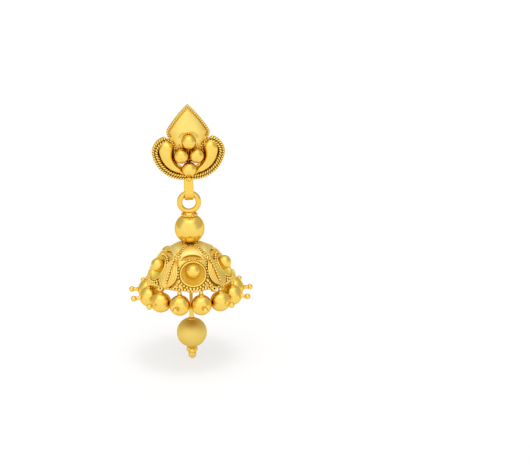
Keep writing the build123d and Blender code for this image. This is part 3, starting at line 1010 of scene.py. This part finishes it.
def dome_panel():
    """Beaded wires, granules and end ring of the front panel."""
    s = bell_sizes()
    parts = []
    for line in panel_lines(0.0, s.bead * 0.5, -0.35):
        parts.append(beaded_wire("arch", line, s.bead, s.bead * 2.35))
    for line in panel_lines(0.31 * MM, 0.06 * MM, -0.1):
        parts.append(wire("arch_wire", line, 0.11 * MM, sides=1))
    collar_r = s.cup + 0.25 * MM
    collar = [on_dome(collar_r * math.sin(t), collar_r * math.cos(t), 0.22 * MM)
              for t in np.linspace(-1.75, 1.75, 40)]
    parts.append(beaded_wire("cup_collar", collar, 0.18 * MM, 0.42 * MM))
    origin, up, out = cup_frame()
    granules = []
    for reach, count, spread in ((s.cup + 0.27 * MM, 11, 66), (s.cup + 0.68 * MM, 8, 42)):
        for t in np.linspace(math.radians(180 - spread), math.radians(180 + spread), count):
            spot = (origin + SIDE * (reach * math.sin(t)) + up * (reach * math.cos(t))
                    + out * 0.04 * MM)
            granules.append(spot - out * (0.16 * (math.sin(t) * reach) ** 2 / (2 * MM)))
    granules += [on_dome(side * x, rise, 0.10 * MM) for side in (-1, 1) for x, rise in mm(
        ((2.16, -1.06), (2.42, -1.36), (2.70, -1.66), (2.98, -1.90), (2.46, -1.78)))]
    parts.append(beads_at("granules", granules, s.granule))
    ring = turned("end_ring", mm([(0.13, 0), (0.13, 0.15), (0.24, 0.25), (0.38, 0.22),
                                  (0.48, 0.06), (0.44, -0.5), (0.13, -0.5), (0.13, 0)]), 24)
    foot = Vector((0, -s.brim - 0.30 * MM, dome_profile()[-1][1] + 0.02 * MM))
    ring.data.transform(Matrix.Rotation(math.radians(26.5), 4, "Z") @ Matrix.Translation(foot)
                        @ facing(Vector((0, -0.95, 0.3))))
    return finished(join("panel", *parts, ring), "beads")


def build_dome():
    """Hollow dome: satin shell with cup holes, beaded arches, granules and a beaded brim."""
    shell, panel = dome_shell(), dome_panel()
    panels = [moved_copy(panel, Matrix.Rotation(index * TAU / SECTORS, 4, "Z"), "panel_copy")
              for index in range(SECTORS)]
    drop_object(panel)
    brim_r, brim_z = dome_profile()[-1]
    brim = beaded_wire("brim_beads", level_ring(brim_r, brim_z + 0.08 * MM, 120), 0.22 * MM,
                       0.44 * MM, closed=True)
    dome = join("dome", shell, *panels, finished(brim, "beads"))
    finish_piece(on_axis(dome), "bell", "bell_dome", smooth=40)


def spread_sectors(template, name, node):
    """Places a piece modelled at the front once in each sector."""
    for index in range(SECTORS):
        placed = moved_copy(template, around_axis(index * TAU / SECTORS),
                            f"{name}_{index + 1}_gold")
        finish_piece(placed, "bell", f"{node}_{index + 1}")
    drop_object(template)


def build_hoods():
    """Long half-round shell over each cup, open below, with a rolled lip and a lining."""
    s = bell_sizes()
    swell_end, swell_fall = 0.35, 0.65

    def place(u, v, inside=0.0):
        turn = math.pi * u
        way = s.hood_long * (v - 0.06 * math.sin(math.pi * v))
        lip = s.hood_lip + s.hood_ends * (1 - math.sin(turn)) * (1 - v) ** 2
        half = max(hood_half_at(way) - inside, 0.0)
        t = way / s.hood_long
        if t < swell_end:
            swell = 0.45 + 0.55 * math.sin(math.pi / 2 * t / swell_end)
        else:
            swell = max(0.0, math.cos(math.pi / 2 * (t - swell_end) / swell_fall)) ** 0.8
        high = max(s.hood_high * swell - inside, -0.06 * MM)
        return on_cap(half * math.cos(turn), lip - way / s.cap,
                      high * math.sin(turn) - 0.05 * MM)

    def lining(u, v):
        x = (u - 0.5) * 2 * (s.hood_half - 0.1 * MM)
        low = s.hood_lip + s.hood_ends + math.radians(0.6)
        high = s.hood_lip + s.hood_ends * (x / s.hood_half) ** 2 - math.radians(6)
        depth = (1 - (2 * u - 1) ** 6) * min(1.0, 2.2 * v)
        return on_cap(x, low + (high - low) * v, (0.06 - 0.28 * depth) * MM)

    shell = modified(shaped_grid("hood_shell", 40, 36, place), "SOLIDIFY",
                     thickness=0.15 * MM, offset=-1)
    roll = wire("lip", [place(u, 0.0, 0.05 * MM) for u in np.linspace(0.0, 1.0, 40)], 0.09 * MM,
                sides=3)
    floor = shaped_grid("hood_lining", 30, 8, lining)
    for face in floor.data.polygons:
        if face.normal.y > 0:
            face.flip()
    modified(floor, "SOLIDIFY", thickness=0.04 * MM, offset=-1)
    hood = join("hood", finished(shell, "hood"), finished(roll, "hood"),
                finished(floor, "lining"))
    spread_sectors(hood, "hood", "hood")


def build_cups():
    """Round dish with a rolled rim and a ball soldered in its middle."""
    s = bell_sizes()
    depth, wall, roll_r = 0.9 * MM, 0.2 * MM, 0.15 * MM
    back_r = (s.cup**2 + depth**2) / (2 * depth)
    face_r, middle_z = back_r - wall, back_r - depth
    sweep = math.asin(s.cup / back_r)
    back = [(back_r * math.sin(t), middle_z - back_r * math.cos(t))
            for t in np.linspace(0, sweep, 20)]
    face = [(face_r * math.sin(t), middle_z - face_r * math.cos(t))
            for t in np.linspace(sweep * 0.93, 0, 20)]
    roll = [(s.cup - 0.10 * MM + roll_r * math.cos(t), 0.03 * MM + roll_r * math.sin(t))
            for t in np.linspace(-0.6, math.pi, 9)]
    dish = turned("dish", back[:-1] + roll + face, 72)
    pearl = sphere(s.cup_ball, (0, s.cup_ball_shift, s.cup_ball_rise), 48, 28)
    finished(dish, "dish").data.materials.append(MATERIALS["polished"])
    for face in dish.data.polygons:
        on_rim = math.hypot(face.center.x, face.center.y) > s.cup - 0.24 * MM
        face.material_index = int(on_rim)
    cup = join("cup", dish, finished(pearl, "polished"))
    origin, up, out = cup_frame()
    turn = Matrix((SIDE, up, out)).transposed().to_4x4()
    cup.data.transform(Matrix.Translation(origin) @ turn)
    spread_sectors(cup, "cup", "bezel_cup")


def half_at(edge, height):
    """Half width of a leaf at a height along its midrib."""
    for (x0, y0), (x1, y1) in zip(edge, edge[1:]):
        if min(y0, y1) <= height <= max(y0, y1) and y0 != y1:
            return x0 + (x1 - x0) * (height - y0) / (y1 - y0)
    return 0.0


def petal_template(smooth_side):
    """Folded leaf: one half bright, the other engraved along its edge, with a beaded midrib."""
    top, bottom = Vector((0, -3.95, -15.5)) * MM, Vector((0, -6.62, -19.45)) * MM
    along = (bottom - top).normalized()
    out = SIDE.cross(along) * -1
    if out.y > 0:
        out = -out
    middle = (top + bottom) / 2 + out * 0.08 * MM
    span = (bottom - top).length
    half_width, thick, fold = 1.66 * MM, 0.42 * MM, math.tan(math.radians(9))
    engraved_width, cross_curve = 0.84, 9.5 * MM
    groove_pitch, groove_depth, faint_depth = 0.30 * MM, 0.085 * MM, 0.02 * MM
    right = curve([(0, -span / 2), (half_width * 0.68, -span * 0.24), (half_width, 0.07 * span),
                   (half_width * 0.74, span * 0.37), (0, span / 2)], (24, 24))

    def sag(down):
        """How far the upper end bends back towards the dome."""
        return 0.30 * MM * limited((-down / span - 0.18) / 0.32) ** 2

    def place(u, v):
        down = -span / 2 + span * (1 - math.cos(math.pi * v)) / 2
        width = max(half_at(right, down), 1e-7)
        loop = u * 2
        in_front = loop <= 1.0
        share = (loop * 2 - 1) if in_front else (3 - loop * 2)
        x = share * width * (1.0 if share * smooth_side > 0 else engraved_width)
        rise = abs(x) * fold - x * x / cross_curve - sag(down)
        if in_front:
            from_edge = width - abs(x)
            groove = 0.5 + 0.5 * math.cos(TAU * from_edge / groove_pitch)
            fade = min(1.0, abs(x) / (0.25 * MM)) * min(1.0, from_edge / (0.1 * MM))
            rise -= (faint_depth if x * smooth_side > 0 else groove_depth) * groove * fade
            rise -= 0.05 * MM * max(0.0, 1 - from_edge / (0.08 * MM))
        else:
            rise -= thick
        spot = middle + along * down + out * rise
        return (x, spot.y, spot.z)

    leaf = shaped_grid("leaf_sheet", 168, 96, place)
    midrib = []
    for index in range(9):
        down = -span * 0.41 + index * 0.43 * MM
        midrib.append(middle + along * down + out * (0.17 * MM - sag(down)))
    return join("petal", finished(leaf, "engraved"),
                finished(beads_at("midrib", midrib, 0.2 * MM), "seeds"))


def build_petals():
    """Folded leaves between the cups, each with its bright half away from the front."""
    lean, rear = math.radians(3.2), 2
    for smooth_side, places in ((1, (0, 1, rear)), (-1, (3, 4))):
        petal = petal_template(smooth_side)
        for index in places:
            turn = (index + 0.5) * TAU / SECTORS + (0 if index == rear else lean * smooth_side)
            leaf = moved_copy(petal, around_axis(turn), f"petal_{index + 1}_gold")
            finish_piece(leaf, "bell", f"leaf_petal_{index + 1}", smooth=60)
        drop_object(petal)


def build_rim_balls():
    """Ball under the brim, with its post, bead, outward neck and granule."""
    s = bell_sizes()
    post_end = dome_profile()[-1][1] - 0.16 * MM - s.rim_z
    reach = s.spike_circle - s.rim_circle
    neck_end = reach - s.spike * 0.8
    body = sphere(RIM_BALL_R, (0, 0, 0), 56, 32)
    crown = turned("crown", mm([(0, -0.03), (0.42, -0.07), (0.40, 0.06), (0.26, 0.12),
                                (0.24, 0.2)], RIM_BALL_R)
                   + [(0.24 * MM, post_end), (0, post_end)], 24)
    bead = sphere(0.33 * MM, (0, 0, RIM_BALL_R + 0.34 * MM), 20, 12)
    neck = turned("neck", mm([(0, -0.06), (0.36, -0.06), (0.34, 0.1), (0.27, 0.2)], RIM_BALL_R)
                  + [(0.27 * MM, neck_end), (0, neck_end)], 24)
    neck.data.transform(Matrix.Rotation(math.pi / 2, 4, "X"))
    spike = sphere(s.spike, (0, -reach, 0), 32, 18)
    one = join("rim_ball", body, crown, bead, neck, spike)
    one.data.transform(Matrix.Translation((0, -s.rim_circle, s.rim_z)))
    for index in range(RIM_BALLS):
        turn = (index + 0.5) * TAU / RIM_BALLS + s.rim_turn
        name = f"rim_ball_{index + 1:02d}"
        finish_piece(moved_copy(one, around_axis(turn), f"{name}_gold"), "bell", name,
                     "swell")
    drop_object(one)


def drilled_ball(name, radius, z, bore):
    """Ball on the hanging axis with a drilled hole, its edge slightly rounded."""
    start, soft = math.asin(bore / radius), 0.02
    profile = [(radius * math.sin(t), radius * math.cos(t))
               for t in np.linspace(start + soft, math.pi - start - soft, 56)]
    end = radius * math.cos(start) - 0.05 * MM
    ball = turned(name, [(bore, end), *profile, (bore, -end), (bore, end)], 96)
    ball.data.transform(Matrix.Translation((0, AXIS_Y, z)))
    return ball


def build_upper_ball():
    ball = drilled_ball("neck_ball", UPPER_BALL_R, UPPER_BALL_Z, 0.44 * MM)
    finish_piece(ball, "bell", "upper_ball", "polished")


def build_eye_pin():
    """Ring, shank and hidden lower eye, bent from one wire."""
    drop = drop_sizes()
    ring_r = RING_OUT_R - RING_WIRE_R
    ring_low, eye_top = RING_Z - ring_r, drop.eye_z + drop.eye
    ring = wire("ring", ring_points(ring_r, Vector((0, AXIS_Y, RING_Z)), SIDE, UP, 72),
                RING_WIRE_R, closed=True, sides=6)
    eye = wire("eye", ring_points(drop.eye, Vector((0, AXIS_Y, drop.eye_z)), SIDE, UP, 48),
               drop.eye_wire, closed=True)
    shank = turned("shank", [(0, ring_low), (0.4 * MM, ring_low), (0.4 * MM, eye_top + 0.3 * MM),
                             (0.26 * MM, eye_top), (0, eye_top)], 32)
    finish_piece(join("ring_and_pin", ring, eye, on_axis(shank)), "bell", "eye_pin",
                 "wire")


def build_collar():
    """Flared collar with a row of beads, between the ring and the upper ball."""
    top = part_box("top_collar")[1].z
    rest = UPPER_BALL_Z + math.sqrt(UPPER_BALL_R**2 - (1.12 * MM) ** 2)
    bead_r = 0.19 * MM
    cone = turned("cone", mm([(0.45, -0.5), (0.45, 0), (0.66, 0), (0.74, -0.05), (0.80, -0.16)],
                             top)
                  + mm([(0.92, 0.3), (1.12, 0.16), (1.12, 0.05), (0.9, 0.13)], rest)
                  + mm([(0.45, -0.5)], top), 48)
    row = beaded_wire("collar_beads", level_ring(1.1 * MM, rest + bead_r + 0.02 * MM, 60),
                      bead_r, 0.42 * MM, closed=True)
    finish_piece(on_axis(join("collar", cone, row)), "bell", "top_collar",
                 "polished")


# ---------------------------------------------------------------- drop

def build_drop_wire():
    """Hook closed by a few turns of wire, plain stem with a sleeve, and the ball's cap."""
    s = drop_sizes()
    hook_z = s.eye_z - s.eye
    hook = wire("hook", ring_points(s.hook, Vector((0, AXIS_Y, hook_z)), BACK, UP, 48),
                s.hook_wire, closed=True)
    cap_z = DROP_BALL_Z + math.sqrt(DROP_BALL_R**2 - (0.62 * MM) ** 2)
    start, end = hook_z - s.hook, cap_z + 0.1 * MM
    rod = turned("rod", mm([(0, 0.1), (0.2, 0.1)], start)
                 + [(s.rod, start - 0.25 * MM), (s.rod, end + 1.7 * MM)]
                 + mm([(0.34, 1.62), (0.36, 1.5), (0.36, 0), (0, 0)], end), 32)
    turns, pitch, steps = 4, 0.3 * MM, 12
    coil = []
    for index in range(turns):
        centre = Vector((0, 0, start - 0.35 * MM - index * pitch))
        for step, point in enumerate(ring_points(s.rod + 0.1 * MM, centre, SIDE, BACK, steps)):
            coil.append((point.x, point.y, point.z - pitch * step / steps))
    wrap = wire("wrap", coil, 0.13 * MM, sides=2)
    cap = turned("cap", mm([(0, 0.26), (0.34, 0.26), (0.5, 0.2), (0.6, 0.05), (0.6, 0.01),
                            (0, 0.1)], cap_z), 40)
    core_end = DROP_BALL_Z - DROP_BALL_R - 0.1 * MM
    core = turned("core", mm([(0, 0.15), (0.29, 0.15)], cap_z)
                  + [(0.29 * MM, core_end), (0, core_end)], 20)
    stem = on_axis(join("stem", rod, wrap, cap, core))
    finish_piece(join("hook_and_stem", hook, stem), "drop", "drop_wire", "wire")


def build_drop_ball():
    ball = drilled_ball("hanging_ball", DROP_BALL_R, DROP_BALL_Z, 0.34 * MM)
    finish_piece(ball, "drop", "drop_ball", "brushed")


def build_drop_tip():
    """Small plate, three granules and one larger granule under them."""
    top = DROP_BALL_Z - DROP_BALL_R
    spread, granule_r, last_r = 0.44 * MM, 0.49 * MM, 0.62 * MM
    parts = [turned("plate", mm([(0.34, 0.02), (0.6, 0.06), (0.68, -0.06), (0.6, -0.2),
                                 (0, -0.24), (0, -0.12), (0.34, -0.12), (0.34, 0.02)], top), 40)]
    for turn in (math.radians(-90 + 120 * index) for index in range(3)):
        centre = (spread * math.cos(turn), spread * math.sin(turn), top - 0.58 * MM)
        parts.append(sphere(granule_r, centre, 36, 20))
    parts.append(sphere(last_r, (0, 0, drop_sizes().tip_bottom + last_r), 40, 24))
    finish_piece(on_axis(join("tip", *parts)), "drop", "drop_tip", "polished")


# ---------------------------------------------------------------- stage

FLOOR_SIZE = 12.0
CARD_GREY = (0.32, 0.32, 0.32, 1)
# The card's glow rises towards the front: a painted pool of light.
CARD_DEPTHS, CARD_GLOWS = (-0.045, -0.10), (0.64, 0.70)
TENT_FACING = (0.259, 0.966)
TENT_FRONT = (0.12, 0.74, 0.60, 1.12)
TENT_TOP = (0.70, 0.97, 0.0, 0.55)
LAMP_DIRECTION = Vector((-0.09, 0.16, -1.0))


def white_floor():
    """White card that keeps the shadow, with a glow that is a painted pool of light, brighter
    towards the front.
    """
    tree = ShaderTree(bpy.data.materials.new("white_floor"))
    ray = tree.add("ShaderNodeLightPath")
    seen = (ray.output("Is Camera Ray") + ray.output("Is Glossy Ray")
            + ray.output("Is Transmission Ray")).clamp()
    place = tree.add("ShaderNodeTexCoord", output=OBJECT_PLACE)
    depth = tree.add("ShaderNodeSeparateXYZ", values={0: place}).output("Y")
    card = tree.add("ShaderNodeBsdfDiffuse", values={"Color": CARD_GREY})
    # Painted pool of light: the glow seen by camera, glossy and transmission rays grows brighter
    # towards the front.
    painted_light_pool = tree.eased(depth, *CARD_DEPTHS, *CARD_GLOWS)
    glow = tree.add("ShaderNodeEmission", values={"Color": WHITE, "Strength": painted_light_pool})
    lit = tree.add("ShaderNodeAddShader", values={0: card, 1: glow})
    return tree.finish(tree.add("ShaderNodeMixShader", values={0: seen, 1: card, 2: lit}))


def studio_world():
    """Soft white tent: brightest in front and above, calmer at its sides."""
    sideways, forwards = TENT_FACING
    tree = ShaderTree(bpy.data.worlds.new("studio"))
    across = tree.add("ShaderNodeSeparateXYZ", values={0: tree.add("ShaderNodeTexCoord")})
    toward, above = across.output("Y"), across.output("Z")
    level = across * across + toward * toward
    flat = level.math("SQRT", level) + 0.001
    ahead = 0.0 - toward * forwards - across * sideways
    front = tree.eased(ahead.math("DIVIDE", ahead, flat), *TENT_FRONT)
    top = tree.eased(above, *TENT_TOP)
    return tree.finish(tree.add("ShaderNodeBackground", values={
        "Color": WHITE, "Strength": front + top}))


def place_camera(centre):
    """Camera in front and slightly above, turned a little so that the earring is off centre."""
    distance, pitch, turn = 169 * MM, math.radians(16.8), math.radians(-4.1)
    yaw, roll = math.radians(-3.83), math.radians(-1.25)
    back = Vector((math.sin(turn) * math.cos(pitch), -math.cos(turn) * math.cos(pitch),
                   math.sin(pitch)))
    spot = centre + back * distance
    deselect_all()
    bpy.ops.object.camera_add(location=spot)
    camera = added("camera")
    camera.data.lens = 76.4
    camera.data.clip_start, camera.data.clip_end = 0.01, 10
    aim = (-back).to_track_quat("-Z", "Y").to_matrix().to_4x4()
    camera.matrix_world = (Matrix.Translation(spot) @ aim @ Matrix.Rotation(roll, 4, "Z")
                           @ Matrix.Rotation(yaw, 4, "Y"))
    bpy.context.scene.camera = camera


def build_stage():
    """White floor, one soft overhead lamp, the tent and the camera."""
    deselect_all()
    floor_z = CAD_BOX[0].z - 0.02 * MM
    bpy.ops.mesh.primitive_plane_add(size=FLOOR_SIZE, location=(0, 0, floor_z))
    floor = added("floor")
    bpy.ops.object.transform_apply(location=True, rotation=True, scale=True)
    floor.data.materials.append(white_floor())
    bpy.context.scene.world = studio_world()
    centre = Vector((0, AXIS_Y, -12.6 * MM))
    deselect_all()
    bpy.ops.object.light_add(type="SUN", location=centre + Vector((0, -0.03, 0.2)))
    lamp = added("overhead")
    lamp.data.energy = 0.80
    lamp.data.angle = math.radians(17)
    lamp.visible_glossy = False
    lamp.rotation_euler = LAMP_DIRECTION.to_track_quat("-Z", "Y").to_euler()
    place_camera(centre)
    bpy.context.scene.view_settings.view_transform = "Standard"


# ---------------------------------------------------------------- operators

class Builder:
    """Runs a group of builders as one operator."""
    builders = ()

    def execute(self, context):
        for build in self.builders:
            build()
        return {"FINISHED"}


class JHUMKA_OT_stud(Builder, bpy.types.Operator):
    """Builds the leaf, half-moons, balls, bail and post of the stud"""
    bl_idname = "jhumka.stud"
    bl_label = "Stud"
    builders = (build_stud_leaf, build_crescents, build_stud_balls, build_bail, build_post)


class JHUMKA_OT_bell(Builder, bpy.types.Operator):
    """Builds the ring, collar, upper ball and the beaded dome"""
    bl_idname = "jhumka.bell"
    bl_label = "Bell"
    builders = (build_eye_pin, build_collar, build_upper_ball, build_dome)


class JHUMKA_OT_panels(Builder, bpy.types.Operator):
    """Builds the hoods, cups and petals round the bell"""
    bl_idname = "jhumka.panels"
    bl_label = "Hoods, cups and petals"
    builders = (build_hoods, build_cups, build_petals)


class JHUMKA_OT_rim(Builder, bpy.types.Operator):
    """Builds the balls that hang under the brim"""
    bl_idname = "jhumka.rim"
    bl_label = "Rim balls"
    builders = (build_rim_balls,)


class JHUMKA_OT_drop(Builder, bpy.types.Operator):
    """Builds the hook, plain stem, ball and granule tip of the drop"""
    bl_idname = "jhumka.drop"
    bl_label = "Drop"
    builders = (build_drop_wire, build_drop_ball, build_drop_tip)


class JHUMKA_OT_stage(Builder, bpy.types.Operator):
    """Sets up the floor, lamp, world and camera"""
    bl_idname = "jhumka.stage"
    bl_label = "Stage"
    builders = (build_stage,)


class JHUMKA_PT_panel(bpy.types.Panel):
    """Buttons for the earring's groups of pieces"""
    bl_idname = "JHUMKA_PT_panel"
    bl_label = "Jhumka"
    bl_space_type = "VIEW_3D"
    bl_region_type = "UI"
    bl_category = "Jhumka"

    def draw(self, context):
        for operator in OPERATORS:
            self.layout.operator(operator.bl_idname)
        for group, properties in GROUPS.items():
            column = self.layout.column()
            for name in properties.__annotations__:
                column.prop(getattr(context.scene, group), name)


OPERATORS = (JHUMKA_OT_stage, JHUMKA_OT_stud, JHUMKA_OT_bell, JHUMKA_OT_panels, JHUMKA_OT_rim,
             JHUMKA_OT_drop)
GROUPS = {"jhumka_stud": StudSizes, "jhumka_bell": BellSizes, "jhumka_drop": DropSizes,
          "jhumka_colours": GoldColours}


def register():
    for group, properties in GROUPS.items():
        bpy.utils.register_class(properties)
        setattr(bpy.types.Scene, group, bpy.props.PointerProperty(type=properties))
    for operator in OPERATORS:
        bpy.utils.register_class(operator)
    bpy.utils.register_class(JHUMKA_PT_panel)


def unregister():
    bpy.utils.unregister_class(JHUMKA_PT_panel)
    for operator in reversed(OPERATORS):
        bpy.utils.unregister_class(operator)
    for group, properties in GROUPS.items():
        delattr(bpy.types.Scene, group)
        bpy.utils.unregister_class(properties)


def main():
    register()
    make_materials()
    bpy.ops.jhumka.stage()
    bpy.ops.jhumka.stud()
    bpy.ops.jhumka.bell()
    bpy.ops.jhumka.panels()
    bpy.ops.jhumka.rim()
    bpy.ops.jhumka.drop()


if __name__ == "__main__":
    main()
